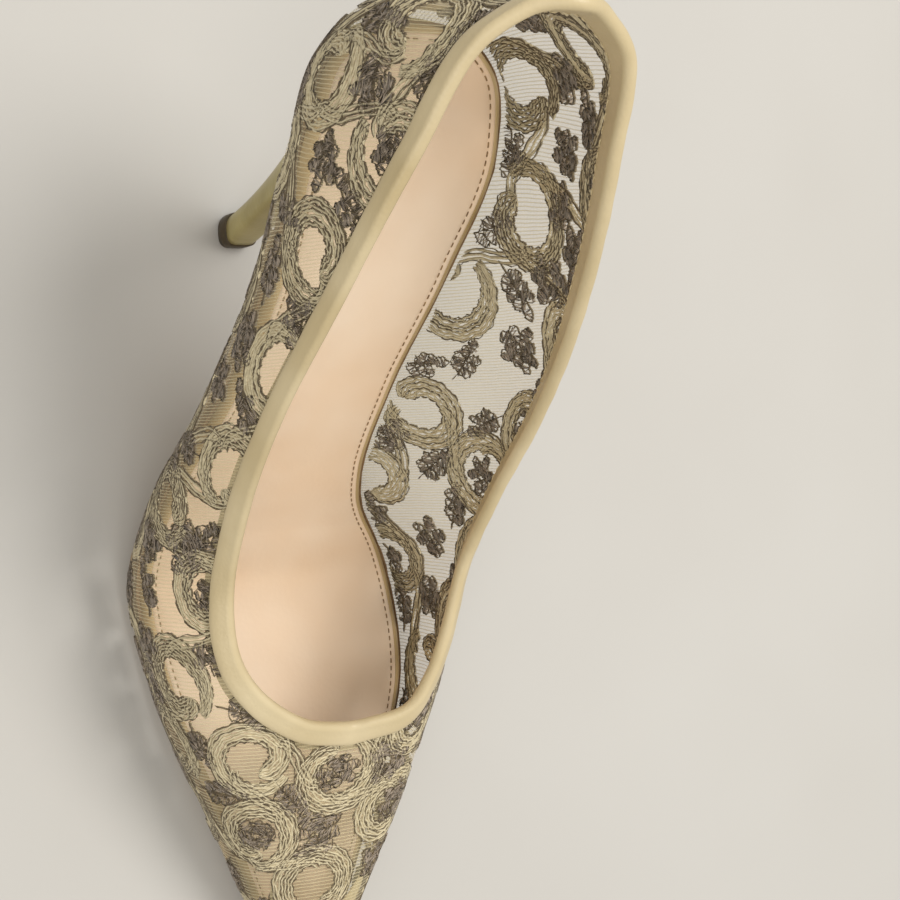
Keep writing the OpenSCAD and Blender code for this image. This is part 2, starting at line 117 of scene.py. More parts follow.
def calm_curve(at, value, x):
    """A smooth curve through the stations that never overshoots them."""
    at = np.array(at, float)
    value = np.array(value, float)
    secant = np.diff(value) / np.diff(at)
    slope = np.zeros(len(at))
    slope[0] = secant[0]
    slope[-1] = secant[-1]
    for i in range(1, len(at) - 1):
        if secant[i - 1] * secant[i] > 0:
            slope[i] = 2 * secant[i - 1] * secant[i] / (secant[i - 1] + secant[i])
    x = np.asarray(x, float)
    i = np.clip(np.searchsorted(at, x, side="right") - 1, 0, len(at) - 2)
    width = at[i + 1] - at[i]
    t = (x - at[i]) / width
    return hermite(value[i], value[i + 1], slope[i] * width, slope[i + 1] * width, t)


def bed_z(y):
    """Height of the underside of the insole board over the floor."""
    return TREAD_Z + K_RISE * calm_curve(BED_AT, BED_UP, np.asarray(y, float) / K_LEN)


def bed_tilt(y):
    return bed_z(y + 0.5) - bed_z(y - 0.5)


def bed_stretch(y):
    """How much a thickness square to the bed grows when it is measured straight up."""
    return np.sqrt(1 + bed_tilt(y) ** 2)


def side_guides(side):
    """The four control points of each station's profile, on the outer (1) or inner (-1) side."""
    outer = side > 0
    feather_x = K_WID * np.array(FEATHER_OUT if outer else FEATHER_IN) * side
    feather_y = K_LEN * np.array(FEATHER_Y, float)
    feather_z = bed_z(feather_y)
    rise = np.array(TOP_RISE, float)
    top_x = K_WID * np.array(TOP_OUT if outer else TOP_IN) * side
    top_y = K_LEN * np.array(TOP_Y, float)
    foot_x = np.array(FOOT_SWELL_OUT if outer else FOOT_SWELL_IN) * side
    lip_x = np.array(TOP_SWELL_OUT if outer else TOP_SWELL_IN) * side
    feather = np.column_stack([feather_x, feather_y, feather_z])
    top = np.column_stack([top_x, top_y, feather_z + rise])
    foot = np.column_stack([foot_x, FOOT_SWELL_Y, np.array(FOOT_UP) * rise])
    lip = np.column_stack([lip_x, TOP_SWELL_Y, -np.array(TOP_DOWN) * rise])
    return np.stack([feather, feather + foot, top + lip, top], axis=1)


# The profiles run round the ring from the back of the heel by the outer side to the toe and back.
# Slopes between them go by the length of the feather edge from each profile to the next.
RING = np.concatenate([side_guides(1), side_guides(-1)[-2:0:-1]])
RING_NEXT = np.roll(RING, -1, axis=0)
STEP = np.linalg.norm(RING_NEXT[:, 0] - RING[:, 0], axis=1)
STEP_AHEAD = STEP[:, None, None]
STEP_BACK = np.roll(STEP, 1)[:, None, None]
AHEAD = (RING_NEXT - RING) / STEP_AHEAD
BACK = np.roll(AHEAD, 1, axis=0)
SLOPE = (BACK * STEP_AHEAD + AHEAD * STEP_BACK) / (STEP_AHEAD + STEP_BACK)


def column(u):
    """Control points of the upper's profile at place u round the ring."""
    u = np.asarray(u, float) % GUIDES
    here = np.minimum(np.floor(u).astype(int), GUIDES - 1)
    ahead = (here + 1) % GUIDES
    step = STEP[here][..., None, None]
    t = (u - here)[..., None, None]
    return hermite(RING[here], RING[ahead], SLOPE[here] * step, SLOPE[ahead] * step, t)


def skin(u, v):
    """A point of the upper: u round the ring, v from the feather edge (0) to the rim (1)."""
    c = column(u)
    v = np.asarray(v, float)[..., None]
    return (
        (1 - v) ** 3 * c[..., 0, :]
        + 3 * (1 - v) ** 2 * v * c[..., 1, :]
        + 3 * (1 - v) * v**2 * c[..., 2, :]
        + v**3 * c[..., 3, :]
    )


def skin_speed(u, v):
    """How the point of the upper moves with v."""
    c = column(u)
    v = np.asarray(v, float)[..., None]
    return 3 * (
        (1 - v) ** 2 * (c[..., 1, :] - c[..., 0, :])
        + 2 * (1 - v) * v * (c[..., 2, :] - c[..., 1, :])
        + v**2 * (c[..., 3, :] - c[..., 2, :])
    )


def rim_speed(u):
    """How fast the skin climbs at the rim, in millimetres for each unit of v."""
    return np.linalg.norm(skin_speed(u, np.ones_like(u)), axis=-1)


def unit(vectors):
    return vectors / np.maximum(np.linalg.norm(vectors, axis=-1, keepdims=True), 1e-12)


SMALL_U = 0.02


def skin_round(u, v):
    """A short step along the ring."""
    return skin(u + SMALL_U, v) - skin(u - SMALL_U, v)


def skin_normal(u, v):
    """The outward normal of the upper."""
    return unit(np.cross(skin_round(np.asarray(u, float), v), skin_speed(u, v)))


def rim(u, below, out):
    """Point `out` outside the skin and `below` under the opening's edge, or above it if negative."""
    speed = skin_speed(u, np.ones_like(u))
    length = np.linalg.norm(speed, axis=-1)
    v = 1 - np.maximum(below, 0) / length
    up = speed / length[..., None]
    lift = np.maximum(-below, 0)
    return skin(u, v) + out[..., None] * skin_normal(u, v) + lift[..., None] * up


def spine_of(p):
    """The nearest place on the bed's centre line."""
    y = np.clip(p[..., 1], SPINE_BACK, SPINE_TOE)
    return np.stack([np.zeros_like(y), y], axis=-1)


def inset(u, distance):
    """Point of the feather edge moved towards the spine, in plan."""
    p = column(u)[..., 0, :2]
    return p + distance * unit(spine_of(p) - p)


def arc_lengths(points):
    step = np.linalg.norm(np.diff(points, axis=0), axis=-1)
    return np.concatenate([[0], np.cumsum(step)])


def ring_places(count):
    return np.linspace(0, GUIDES, count, endpoint=False)


# ---------------------------------------------------------------- placing in the row frame
def shift_to_row_frame():
    """The upper's CAD box says where the last's own origin lies in the row frame."""
    u = ring_places(960)
    v = np.linspace(0.05, 1, 40)
    points = skin(u[:, None], v[None, :]).reshape(-1, 3)
    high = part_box("mesh_upper")[1]
    return np.array([high.x / MM - points[:, 0].max(), high.y / MM - points[:, 1].max(), 0.0])


SHIFT = shift_to_row_frame()


def place(points):
    """Last coordinates in millimetres to the row frame in metres."""
    return (np.asarray(points, float) + SHIFT) * MM


# ---------------------------------------------------------------- mesh building
def add_mesh(name, points, faces, material, uv=None):
    mesh = bpy.data.meshes.new(name)
    mesh.from_pydata(place(points).tolist(), [], faces)
    mesh.update()
    if uv is not None:
        layer = mesh.uv_layers.new(name="lay")
        loops = np.zeros(len(mesh.loops), np.int32)
        mesh.loops.foreach_get("vertex_index", loops)
        layer.data.foreach_set("uv", np.asarray(uv, np.float32)[loops].ravel())
    mesh.polygons.foreach_set("use_smooth", [True] * len(mesh.polygons))
    mesh.materials.append(material)
    obj = bpy.data.objects.new(name, mesh)
    bpy.context.scene.collection.objects.link(obj)
    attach(obj, "root")
    return obj


def grid_faces(rows, cols, wrap_rows=False, wrap_cols=False, start=0):
    """Four-sided faces of a grid of points, numbered row by row from `start`."""
    row = np.arange(rows if wrap_rows else rows - 1)
    col = np.arange(cols if wrap_cols else cols - 1)
    row, col = np.meshgrid(row, col, indexing="ij")
    this_row = start + row * cols
    next_row = start + ((row + 1) % rows) * cols
    next_col = (col + 1) % cols
    corners = [this_row + col, next_row + col, next_row + next_col, this_row + next_col]
    return np.stack(corners, axis=-1).reshape(-1, 4)


def open_ring(name, lines, material, uv=None):
    """A sheet that runs round the ring: an array (places round the ring, points across, 3)."""
    n, m = lines.shape[:2]
    faces = grid_faces(n, m, wrap_rows=True).tolist()
    return add_mesh(name, lines.reshape(-1, 3), faces, material, uv)


def closed_ring(name, sections, material):
    """A closed ring of closed sections: an array (sections, points, 3)."""
    n, m = sections.shape[:2]
    faces = grid_faces(n, m, wrap_rows=True, wrap_cols=True).tolist()
    return add_mesh(name, sections.reshape(-1, 3), faces, material)


def capped_row(name, sections, material):
    """A row of closed sections with a fan of faces over both ends."""
    n, m = sections.shape[:2]
    faces = grid_faces(n, m, wrap_cols=True).tolist()
    points = np.vstack([sections.reshape(-1, 3), sections[0].mean(0), sections[-1].mean(0)])
    last_row = (n - 1) * m
    for j in range(m):
        k = (j + 1) % m
        faces.append([n * m, j, k])
        faces.append([n * m + 1, last_row + k, last_row + j])
    return add_mesh(name, points, faces, material)


# ---------------------------------------------------------------- material parts
def srgb(text):
    value = [int(text[i : i + 2], 16) / 255 for i in (0, 2, 4)]
    return tuple(v / 12.92 if v <= 0.04045 else ((v + 0.055) / 1.055) ** 2.4 for v in value) + (1.0,)


def new_material(name):
    material = bpy.data.materials.new(name)
    material.use_nodes = True
    tree = material.node_tree
    return material, tree, tree.nodes["Principled BSDF"]


def node(tree, kind, **settings):
    made = tree.nodes.new(kind)
    for key, value in settings.items():
        if key in made.inputs:
            made.inputs[key].default_value = value
        else:
            setattr(made, key, value)
    return made


def math_node(tree, operation, *values):
    """A maths node. Each value is a number or another node's output."""
    made = node(tree, "ShaderNodeMath", operation=operation)
    for i, value in enumerate(values):
        if isinstance(value, (int, float)):
            made.inputs[i].default_value = value
        else:
            tree.links.new(value, made.inputs[i])
    return made.outputs[0]


def noise(tree, scale, detail, roughness=0.55):
    made = node(tree, "ShaderNodeTexNoise", Scale=scale, Detail=detail, Roughness=roughness)
    coords = tree.nodes.new("ShaderNodeTexCoord").outputs["Object"]
    tree.links.new(coords, made.inputs["Vector"])
    return made.outputs["Fac"]


def two_tone(tree, shader, tone, dark, light, dark_at, light_at):
    """The base colour, going from dark to light with `tone`."""
    made = tree.nodes.new("ShaderNodeValToRGB")
    for element, at, color in zip(made.color_ramp.elements, (dark_at, light_at), (dark, light)):
        element.position = at
        element.color = srgb(color)
    tree.links.new(tone, made.inputs["Fac"])
    tree.links.new(made.outputs["Color"], shader.inputs["Base Color"])


def bump(tree, shader, height, strength, distance):
    made = node(tree, "ShaderNodeBump", Strength=strength, Distance=distance)
    tree.links.new(height, made.inputs["Height"])
    tree.links.new(made.outputs["Normal"], shader.inputs["Normal"])


# ---------------------------------------------------------------- material kinds
def leather(name, light, dark, grain, rough, strength, spread=35.0):
    """Smooth leather: broad tone changes, fine pores, soft sheen."""
    material, tree, shader = new_material(name)
    tone = noise(tree, spread, 3.0)
    two_tone(tree, shader, tone, dark, light, 0.3, 0.7)
    coords = tree.nodes.new("ShaderNodeTexCoord").outputs["Object"]
    pores = node(tree, "ShaderNodeTexVoronoi", Scale=grain)
    tree.links.new(coords, pores.inputs["Vector"])
    wrinkles = math_node(tree, "MULTIPLY", noise(tree, grain * 2.2, 3.0), 0.6)
    height = math_node(tree, "ADD", pores.outputs["Distance"], wrinkles)
    bump(tree, shader, height, strength, 0.0002)
    wear = math_node(tree, "MULTIPLY_ADD", tone, 0.2, rough - 0.1)
    tree.links.new(wear, shader.inputs["Roughness"])
    shader.inputs["Specular IOR Level"].default_value = 0.45
    return material


def plain(name, light, dark, rough, scale, strength, metallic=0.0):
    """Board, felt, plastic or metal with a fine procedural surface."""
    material, tree, shader = new_material(name)
    tone = noise(tree, scale, 5.0, 0.6)
    two_tone(tree, shader, tone, dark, light, 0.25, 0.75)
    bump(tree, shader, tone, strength, 0.0001)
    shader.inputs["Roughness"].default_value = rough
    shader.inputs["Metallic"].default_value = metallic
    return material


def thread(name, light, dark, rough, sheen, scale=900.0):
    """Sewing thread: fine streaks and colour that changes from stitch to stitch."""
    material, tree, shader = new_material(name)
    tone = noise(tree, scale, 3.0, 0.6)
    two_tone(tree, shader, tone, dark, light, 0.28, 0.72)
    bump(tree, shader, noise(tree, scale * 4, 2.0), 0.5, 0.0001)
    shader.inputs["Roughness"].default_value = rough
    shader.inputs["Sheen Weight"].default_value = sheen
    return material


RIB_PITCH = 0.00095
MESH_PITCH = 0.0009


def thread_lines(tree, at, core, edge, cover):
    """`cover` along the middle of each thread, one thread for each unit of `at`, and 0 between."""
    away = math_node(tree, "PINGPONG", at, 0.5)
    limits = {"From Min": core, "From Max": edge, "To Min": cover, "To Max": 0.0}
    made = node(tree, "ShaderNodeMapRange", interpolation_type="SMOOTHSTEP", **limits)
    tree.links.new(away, made.inputs["Value"])
    return made.outputs[0]


def net_material():
    """Sheer net: ribs one way, thinner cross threads staggered from rib to rib, film between."""
    material, tree, shader = new_material("net")
    uv = node(tree, "ShaderNodeUVMap", uv_map="lay")
    split = tree.nodes.new("ShaderNodeSeparateXYZ")
    tree.links.new(uv.outputs["UV"], split.inputs[0])
    along = math_node(tree, "MULTIPLY_ADD", noise(tree, 260.0, 2.0), 0.0004, split.outputs["X"])
    rib_at = math_node(tree, "DIVIDE", along, RIB_PITCH)
    stagger = math_node(tree, "MULTIPLY", math_node(tree, "FLOOR", rib_at), 0.5)
    mesh_at = math_node(tree, "DIVIDE", split.outputs["Y"], MESH_PITCH)
    cross_at = math_node(tree, "ADD", mesh_at, stagger)
    ribs = thread_lines(tree, rib_at, 0.10, 0.22, 1.0)
    crossings = thread_lines(tree, cross_at, 0.05, 0.13, 0.45)
    threads = math_node(tree, "MAXIMUM", ribs, crossings)
    alpha = math_node(tree, "MAXIMUM", math_node(tree, "MULTIPLY", threads, 0.62), 0.24)
    tree.links.new(alpha, shader.inputs["Alpha"])
    two_tone(tree, shader, noise(tree, 60.0, 3.0), "D2C092", "E2D3A8", 0.3, 0.7)
    bump(tree, shader, threads, 0.6, 0.0002)
    shader.inputs["Roughness"].default_value = 0.5
    shader.inputs["Sheen Weight"].default_value = 0.3
    return material


net_look = net_material()
pale_thread = thread("thread_pale", "DCCFAC", "AE9F7C", rough=0.45, sheen=0.1)
dark_thread = thread("thread_dark", "7E6D50", "4A3D2A", rough=0.6, sheen=0.1)
leaf_thread = thread("thread_leaf", "CBB9A3", "73624E", rough=0.5, sheen=0.15, scale=600.0)
sock_thread = thread("stitch", "A88654", "6E5230", rough=0.6, sheen=0.2)
binding_thread = thread("binding_stitch", "D8C8A0", "B09A6C", rough=0.6, sheen=0.2)
binding_look = leather("binding_leather", "CDBC97", "B9A67D", grain=1100.0, rough=0.42, strength=0.22)
nude_look = leather("nude_leather", "DDC7A0", "CBB48A", grain=1000.0, rough=0.42, strength=0.2)
sock_look = leather("sock_leather", "F3DDC3", "EACBA9", grain=700.0, rough=0.5, strength=0.12, spread=22.0)
# The edge wrap is the sock's own nude leather, given a darker, more olive colour here: painted shade of
# the edge wall that stands in shadow.
wrap_shaded_look = leather("wrap_leather", "CDB283", "AE9263", grain=1200.0, rough=0.5, strength=0.2)
heel_look = leather("heel_leather", "B3A56E", "94854E", grain=900.0, rough=0.36, strength=0.2, spread=60.0)
sole_look = leather("sole_leather", "C2A47A", "A78859", grain=500.0, rough=0.4, strength=0.3, spread=80.0)
rubber_look = plain("top_piece_rubber", "4A3B1F", "33280F", rough=0.5, scale=700.0, strength=0.35)
tape_look = plain("tape", "E6DEC8", "CFC4A8", rough=0.8, scale=1500.0, strength=0.5)
board_look = plain("board", "8C6E4A", "6E5334", rough=0.85, scale=300.0, strength=0.4)
foam_look = plain("foam", "F0EBDD", "DCD4C0", rough=0.9, scale=1200.0, strength=0.5)
filler_look = plain("filler", "D0C6AE", "B4A88C", rough=0.9, scale=500.0, strength=0.5)
puff_look = plain("puff_sheet", "CDBE96", "B9A87C", rough=0.7, scale=900.0, strength=0.3)
plastic_look = plain("heel_plastic", "E0DDD0", "D2CEBE", rough=0.5, scale=200.0, strength=0.1)
steel_look = plain("shank_steel", "9A9CA0", "7C7E82", rough=0.35, scale=250.0, strength=0.15, metallic=1.0)
fixing_look = plain("fixing_steel", "B0B2B6", "8C8E92", rough=0.3, scale=300.0, strength=0.1, metallic=1.0)

# ---------------------------------------------------------------- net upper
NET_COLS = 720
NET_ROWS = 44
NET_FOOT_V = 0.04
NET_UNDER = 0.45
MARGIN_INSETS = (MARGIN_W, 6.0, 2.5, 0.8)
FOLD_INSET = 0.15
FOLD_UP = 0.25
# Where the ribs turn from running round the heel to running across the shoe.
RIBS_MEET = 0.28
RIBS_TURN_Y = 18
RIBS_TURN_LENGTH = 40


def rib_coordinate(points, middle):
    """Distance that the net's ribs count, in metres.

    It goes along the bed for most of the shoe, and round the ring at the back of the heel.
    """
    y = points[..., 1]
    bed_y = np.linspace(-5, SHOE_LENGTH + 2, 500)
    bed_length = arc_lengths(np.column_stack([bed_y, bed_z(bed_y)]))
    along_bed = np.interp(y, bed_y, bed_length)
    ring_length = arc_lengths(np.vstack([middle, middle[:1]]))[:-1]
    half = len(middle) // 2
    outer_half = np.arange(len(middle)) <= half
    folded = np.where(outer_half, ring_length, ring_length[-1] - ring_length)
    meet = int(half * RIBS_MEET)
    meet_at = np.interp(middle[meet, 1], bed_y, bed_length)
    round_ring = (meet_at - folded[meet] + folded)[:, None]
    share = np.clip((y - RIBS_TURN_Y) / RIBS_TURN_LENGTH, 0, 1)
    share = share * share * (3 - 2 * share)
    return (along_bed * share + round_ring * (1 - share)) * MM


def net_upper():
    """The net from its lasting margin under the board, round the feather edge, up to the rim."""
    u = ring_places(NET_COLS)
    side = skin(u[:, None], np.linspace(NET_FOOT_V, 1, NET_ROWS)[None, :])
    lines = []
    for distance in MARGIN_INSETS:
        p = inset(u, distance)
        lines.append(np.column_stack([p, bed_z(p[:, 1]) - NET_UNDER]))
    fold = inset(u, FOLD_INSET)
    lines.append(np.column_stack([fold, bed_z(fold[:, 1]) + FOLD_UP]))
    points = np.concatenate([np.stack(lines, axis=1), side], axis=1)
    steps = np.linalg.norm(np.diff(points, axis=1), axis=-1)
    up = np.concatenate([np.zeros((NET_COLS, 1)), np.cumsum(steps, axis=1)], axis=1)
    uv = np.stack([rib_coordinate(points, side[:, NET_ROWS // 2]), up * MM], axis=-1)
    return open_ring("net_upper", points, net_look, uv.reshape(-1, 2))


net = net_upper()
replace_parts(net, "mesh_upper")

# ---------------------------------------------------------------- binding
RING_COLS = 720
OVER_RIM = 0.4
BINDING_CLEAR = 0.05


def wave(at, total, pitch, height, seed):
    """A small smooth waver at lengths `at` of a ring `total` long, closed where the ring closes."""
    draw_from = np.random.default_rng(seed)
    count = max(1, int(round(total / pitch)))
    result = np.zeros_like(at)
    for k in (count, count * 2 + 1, count * 3 + 2):
        phase = draw_from.uniform(0, 6.28)
        result += np.sin(2 * math.pi * k * at / total + phase) * draw_from.uniform(0.4, 1) / 2
    return height * result


def topline_binding():
    """Leather folded over the rim: outer flap, round fold, inner flap and the hollow between."""
    u = ring_places(RING_COLS)
    path = skin(u, np.ones(RING_COLS))
    length = arc_lengths(np.vstack([path, path[:1]]))
    at = length[:-1]
    total = length[-1]
    mid = -NET_T / 2
    inner = NET_T / 2 + BINDING_CLEAR
    outer = inner + BINDING_T
    fold = outer + 0.12
    pucker = wave(at, total, 26, 0.10, seed=3)
    edge_out = BINDING_OUT + wave(at, total, 40, 0.15, seed=4)
    edge_in = BINDING_IN + wave(at, total, 50, 0.2, seed=5)
    rows = []

    def add(below, out):
        rows.append(rim(u, np.broadcast_to(below, u.shape), np.broadcast_to(out, u.shape)))

    add(edge_out, mid + inner)
    add(edge_out + 0.12, mid + inner + 0.35)
    add(edge_out - 0.1, mid + outer - 0.2)
    for f in (0.9, 0.7, 0.5, 0.3, 0.12):
        add(edge_out * f, mid + outer + pucker + 0.22 * math.sin(math.pi * f))
    for a in math.pi * np.linspace(0, 1, 11):
        add(-OVER_RIM - fold * math.sin(a), mid + fold * math.cos(a) + pucker * (1 - a / math.pi))
    for f in (0.12, 0.3, 0.5, 0.7, 0.88):
        add(edge_in * f, mid - outer - 0.15 * math.sin(math.pi * f))
    add(edge_in - 0.1, mid - outer + 0.25)
    add(edge_in, mid - inner - 0.3)
    add(edge_in - 0.2, mid - inner)
    for a in math.pi * np.linspace(1, 0, 5):
        add(-OVER_RIM - inner * math.sin(a), mid + inner * math.cos(a))
    sections = np.stack(rows, axis=1)
    return closed_ring("topline_binding_leather", sections, binding_look)


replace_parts(topline_binding(), "topline_binding")


# ---------------------------------------------------------------- threads and stitches
END_SIZE = 0.15


def tube_set(name, lines, half_w, half_h, sides, material):
    """Many thin threads in one mesh. Each line is (points, normals); its ends are drawn thin."""
    points = []
    faces = []
    start = 0
    angle = 2 * math.pi * np.arange(sides) / sides
    cos_a = np.cos(angle)[None, :, None]
    sin_a = np.sin(angle)[None, :, None]
    for path, normals in lines:
        n = len(path)
        along = unit(np.gradient(path, axis=0))
        across = unit(np.cross(normals, along))
        up = np.cross(along, across)
        size = np.ones(n)
        size[0] = size[-1] = END_SIZE
        size = size[:, None, None]
        ringed = (
            path[:, None, :]
            + half_w * size * cos_a * across[:, None, :]
            + half_h * size * sin_a * up[:, None, :]
        )
        points.append(ringed.reshape(-1, 3))
        faces.append(grid_faces(n, sides, wrap_cols=True, start=start))
        start += n * sides
    return add_mesh(name, np.vstack(points), np.vstack(faces).tolist(), material)


def stitches(path, normals, length, gap, lift, sag):
    """Short threads laid along a path, each dipping into the leather at both ends."""
    s = arc_lengths(path)
    lines = []
    at = gap
    t = np.linspace(0, 1, 7)
    height = (lift - sag * (2 * t - 1) ** 4)[:, None]
    while at + length < s[-1]:
        where = at + t * length
        points = np.column_stack([np.interp(where, s, path[:, k]) for k in range(3)])
        out = unit(np.column_stack([np.interp(where, s, normals[:, k]) for k in range(3)]))
        lines.append((points + out * height, out))
        at += length + gap
    return lines


def binding_stitches():
    """The row that closes the binding, on its inner flap."""
    u = np.linspace(0, GUIDES, 1400)
    below = np.full_like(u, BINDING_IN - 1.3)
    path = rim(u, below, np.full_like(u, -NET_T - BINDING_T - 0.12))
    inward = -skin_normal(u, 1 - below / rim_speed(u))
    lines = stitches(path, inward, length=2.1, gap=0.7, lift=0.12, sag=0.35)
    return tube_set("binding_stitches", lines, 0.2, 0.17, 6, binding_thread)


binding_stitches()

# ---------------------------------------------------------------- embroidery: laying it on the net
# The tree's strip runs a little past both edges of the net, so that motifs lie flat to the edge.
TREE_COLS = 480
TREE_ROWS = 64
TREE_V = np.linspace(-0.12, 1.12, TREE_ROWS)
TREE_U = ring_places(TREE_COLS)
V_FOOT = 0.012
V_TOP = 1 - (BINDING_OUT - 1.0) / rim_speed(TREE_U)
SATIN_LIFT = 0.02
SHORTEST_RUN = 4


def skin_tree():
    points = skin(TREE_U[:, None], TREE_V[None, :]).reshape(-1, 3)
    faces = grid_faces(TREE_COLS, TREE_ROWS, wrap_rows=True)
    return BVHTree.FromPolygons(points.tolist(), faces.tolist())


def tree_facing(tree):
    """1 where the tree's normals point outward, and -1 where they point inward."""
    u = np.array([4.0])
    v = np.array([0.5])
    normal = np.array(tree.find_nearest(skin(u, v)[0].tolist())[1])
    return 1.0 if np.dot(normal, skin_normal(u, v)[0]) > 0 else -1.0


net_tree = skin_tree()
net_facing = tree_facing(net_tree)


def to_net(points):
    """Nearest places on the skin: points, outward normals and whether each is on the open net."""
    found = np.zeros((len(points), 3))
    normal = np.zeros((len(points), 3))
    on_net = np.zeros(len(points), bool)
    half_row = 0.5 * (TREE_V[1] - TREE_V[0])
    for i, p in enumerate(points):
        found[i], normal[i], face, _ = net_tree.find_nearest(p.tolist())
        col, row = divmod(face, TREE_ROWS - 1)
        on_net[i] = V_FOOT < TREE_V[row] + half_row < V_TOP[col]
    return found, normal * net_facing, on_net


class Motif:
    """A flat drawing in millimetres laid on the net round one place."""

    def __init__(self, centre, normal, heading, mirrored):
        self.centre = centre
        self.e1 = unit(heading - np.dot(heading, normal) * normal)
        self.e2 = np.cross(normal, self.e1) * (-1 if mirrored else 1)

    def lay(self, flat, lift):
        """The parts of a flat line that land on the net, each as (points, normals)."""
        flat = np.asarray(flat, float)
        world = self.centre + flat[:, :1] * self.e1 + flat[:, 1:] * self.e2
        points, normals, on_net = to_net(world)
        points = points + normals * lift
        edges = np.flatnonzero(np.diff(np.concatenate([[0], on_net.astype(int), [0]])))
        return [
            (points[first:last], normals[first:last])
            for first, last in zip(edges[::2], edges[1::2])
            if last - first >= SHORTEST_RUN
        ]


# ---------------------------------------------------------------- embroidery: flat drawings
def waver(n, height, turns):
    """A hand-guided line's small wander, over n points."""
    s = np.linspace(0, 1, n)
    total = np.zeros(n)
    for k in range(1, 4):
        total += np.sin(2 * math.pi * (turns * k * s + rng.random())) / k
    return height * total * 0.6


def band(centre_line, half_width, strands):
    """Strands of satin with dark outlines, along a flat centre line: (satin, outlines)."""
    along = unit(np.gradient(centre_line, axis=0))
    sideways = np.column_stack([-along[:, 1], along[:, 0]])
    n = len(centre_line)
    satin = []
    outlines = []
    for k in range(strands + 1):
        off = (2 * k / strands - 1) * half_width + waver(n, 0.4, n / 7)
        if k in (0, strands) or rng.random() < 0.6:
            outlines.append(centre_line + sideways * off[:, None])
    for k in range(strands):
        off = (2 * (k + 0.5) / strands - 1) * half_width + waver(n, 0.3, n / 10)
        satin.append(centre_line + sideways * off[:, None])
    return satin, outlines


SCROLL_HALF = 2.9
SCROLL_STRANDS = 7
VINE_HALF = 1.6
VINE_STRANDS = 3
VINE_SWING = 5.5


def scroll(radius, turn, curl):
    """A satin band that runs round its place and curls in to a round end."""
    n = int(11 * radius)
    s = np.linspace(0, 1, n)
    r = radius * (1 - curl * s**3.2)
    centre_line = np.column_stack([r * np.cos(turn * s), 0.94 * r * np.sin(turn * s)])
    knob = 1 + 0.22 * np.exp(-(((s - 0.93) / 0.05) ** 2))
    half = SCROLL_HALF * np.minimum(1, 0.45 + 2.2 * s) * knob
    half = half * np.sqrt(np.clip(1 - s**16, 0.05, 1))
    return band(centre_line, half, SCROLL_STRANDS)


def vine(reach):
    """A thin satin band bent like an S, as far as `reach` to each side of its place."""
    s = np.linspace(-1, 1, 26)
    centre_line = np.column_stack([s * reach, VINE_SWING * np.sin(s * 1.9)])
    return band(centre_line, VINE_HALF * (1 - 0.35 * s**2), VINE_STRANDS)


ZIGZAG_PITCH = 0.36
PETAL_OUTLINE = 26


def petal(length, width, angle, at):
    """A leaf filled with zigzag stitches, and its outline: (fill, outline)."""
    steps = int(length / ZIGZAG_PITCH)
    t = np.linspace(0.04, 0.98, steps)
    side = np.where(np.arange(steps) % 2, 1, -1)
    off = width / 2 * np.sin(math.pi * t) ** 0.7 * side
    off = off * rng.uniform(0.45, 1.45, steps)
    fill = np.column_stack([t * length + rng.normal(0, 0.3, steps), off])
    a = np.linspace(0, 2 * math.pi, PETAL_OUTLINE)
    edge_x = length * (0.5 - 0.5 * np.cos(a))
    edge_y = width / 2 * 1.12 * np.sin(a) * np.abs(np.sin(a / 2)) ** 0.4
    outline = np.column_stack([edge_x, edge_y]) + rng.normal(0, 0.2, (PETAL_OUTLINE, 2))
    c, s = math.cos(angle), math.sin(angle)
    turn = np.array([[c, s], [-s, c]])
    return fill @ turn + at, outline @ turn + at


def cluster(size):
    """A flower: a ring of petals and four more over its middle: (fills, outlines)."""
    petals = []
    count = int(rng.integers(6, 9))
    for k in range(count):
        angle = 2 * math.pi * (k + rng.uniform(-0.2, 0.2)) / count
        at = np.array([math.cos(angle), math.sin(angle)]) * 0.12 * size
        petals.append(petal(size * rng.uniform(0.42, 0.66), size * rng.uniform(0.28, 0.4), angle, at))
    for _ in range(4):
        angle = rng.uniform(0, 6.28)
        petals.append(petal(size * 0.35, size * 0.3, angle, rng.normal(0, 0.2 * size, 2)))
    return [fill for fill, _ in petals], [outline for _, outline in petals]


def sprig(size):
    """A bent stem with three pairs of leaves and one at its tip: (fills, outlines)."""
    s = np.linspace(0, 1, 18)
    bend = rng.uniform(-0.35, 0.35)
    stem = np.column_stack([size * s, size * bend * s**2])
    second_stem = stem + rng.normal(0, 0.12, stem.shape)
    petals = []
    for f in (0.3, 0.55, 0.8):
        at = np.array([size * f, size * bend * f**2])
        for side in (-1, 1):
            length = size * rng.uniform(0.34, 0.46)
            petals.append(petal(length, size * 0.25, side * rng.uniform(0.7, 1.0), at))
    petals.append(petal(size * 0.42, size * 0.26, 2 * bend, stem[-1]))
    outlines = [stem, second_stem] + [outline for _, outline in petals]
    return [fill for fill, _ in petals], outlines


# ---------------------------------------------------------------- embroidery: where it goes
RING_GAP = 22.0
SPRIG_GAP = 12.0
FARTHEST_VINE = 36.0
VINE_SHARE = 0.36
CLUSTER_SHARE = 0.45
satin_lines = []
outline_lines = []
leaf_lines = []

spot_u, spot_v = np.meshgrid(ring_places(480), np.linspace(0.06, 0.9, 24), indexing="ij")
spot_u = spot_u.ravel()
spot_v = spot_v.ravel()
spots = skin(spot_u, spot_v)
spot_normals = skin_normal(spot_u, spot_v)
spot_round = skin_round(spot_u, spot_v)


def nearest_spot(point):
    return int(np.argmin(np.linalg.norm(spots - point, axis=1)))


def spread(gap, taken):
    """Spots at least `gap` from one another and from `taken`, the one farthest from all first."""
    far = np.min(np.linalg.norm(spots[:, None] - taken[None], axis=-1), axis=1)
    chosen = []
    while far.max() >= gap:
        i = int(np.argmax(far))
        chosen.append(i)
        far = np.minimum(far, np.linalg.norm(spots - spots[i], axis=1))
    return chosen


